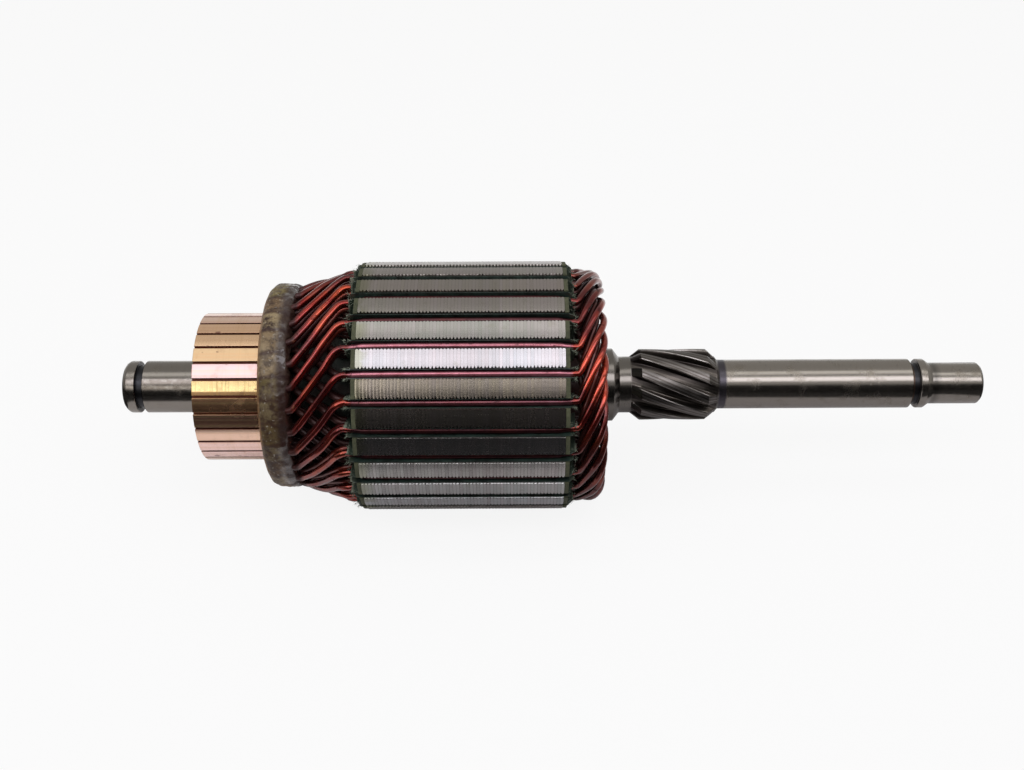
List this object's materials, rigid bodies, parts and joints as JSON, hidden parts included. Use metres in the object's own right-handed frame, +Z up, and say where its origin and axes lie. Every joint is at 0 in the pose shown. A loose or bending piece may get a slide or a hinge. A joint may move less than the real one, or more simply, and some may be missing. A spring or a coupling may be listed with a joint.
{
  "type": "motor armature",
  "caption": "Wound rotor of a direct-current starter motor: steel shaft with helical spline, slotted lamination stack, red enamelled wave winding and copper commutator.",
  "frame": {"origin": "on the shaft's axis, at the middle of the commutator-end journal", "axes": "+X along the shaft from the commutator end to the drive end, +Z up with one slot at the very bottom, so that the lamination stack lies on two of its teeth"},
  "size_m": [0.2137, 0.062, 0.062],
  "materials": {
    "shaft_steel": "turned and ground steel with faint brown stains, darker on the spline",
    "lamination_steel": "stacked steel sheets, machined on the outside",
    "insulating_fibre": "olive-green pressed fibre, matt",
    "liner_paper": "dark green varnished paper with pale worn cuff edges",
    "bush_steel": "plain turned steel",
    "moulding_resin": "dark brown phenolic moulding",
    "mica": "dark undercut mica",
    "copper": "turned hard copper, lightly tarnished",
    "band_resin": "mottled grey-green and brown resin, glossy and lumpy",
    "enamelled_wire": "copper wire with glossy red enamel"
  },
  "bodies": {
    "root": {"shaft": "shaft_steel", "lamination_stack": "lamination_steel", "end_insulator_commutator_side": "insulating_fibre", "end_insulator_drive_side": "insulating_fibre", "slot_liners": "liner_paper", "commutator_bush": "bush_steel", "commutator_moulding": "moulding_resin", "commutator_mica": "mica", "commutator_bars": "copper", "riser_resin_band": "band_resin", "coil_01": "enamelled_wire", "coil_02": "enamelled_wire", "coil_03": "enamelled_wire", "coil_04": "enamelled_wire", "coil_05": "enamelled_wire", "coil_06": "enamelled_wire", "coil_07": "enamelled_wire", "coil_08": "enamelled_wire", "coil_09": "enamelled_wire", "coil_10": "enamelled_wire", "coil_11": "enamelled_wire", "coil_12": "enamelled_wire", "coil_13": "enamelled_wire", "coil_14": "enamelled_wire", "coil_15": "enamelled_wire", "coil_16": "enamelled_wire", "coil_17": "enamelled_wire", "coil_18": "enamelled_wire", "coil_19": "enamelled_wire", "coil_20": "enamelled_wire", "coil_21": "enamelled_wire", "coil_22": "enamelled_wire", "coil_23": "enamelled_wire", "coil_24": "enamelled_wire", "coil_25": "enamelled_wire", "coil_26": "enamelled_wire", "coil_27": "enamelled_wire", "coil_28": "enamelled_wire"}
  },
  "joints": []
}
